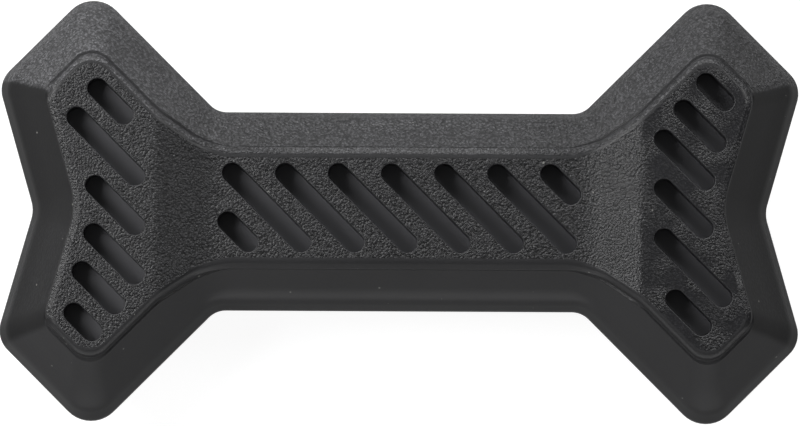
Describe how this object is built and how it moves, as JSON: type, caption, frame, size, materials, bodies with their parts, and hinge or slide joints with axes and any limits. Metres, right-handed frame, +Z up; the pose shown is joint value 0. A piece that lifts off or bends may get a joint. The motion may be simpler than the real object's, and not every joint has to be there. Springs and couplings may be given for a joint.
{
  "type": "rubber chew toy",
  "caption": "Flat bone-shaped rubber chew toy with bevelled knobs, a lower bar between them and slanted slots in both faces that hold treats or paste.",
  "frame": {"origin": "under the middle of the bone, on the surface that it rests on", "axes": "+X along the bone, +Y across it towards the top edge of the picture, +Z up, out of the face that the picture shows"},
  "size_m": [0.16, 0.0844, 0.034],
  "materials": {
    "core_rubber": "black rubber, moulded smooth",
    "shell_rubber": "black rubber, matt, moulded with a coarse pebble grain"
  },
  "bodies": {
    "root": {"core": "core_rubber", "upper_shell": "shell_rubber", "lower_shell": "shell_rubber"}
  },
  "joints": []
}
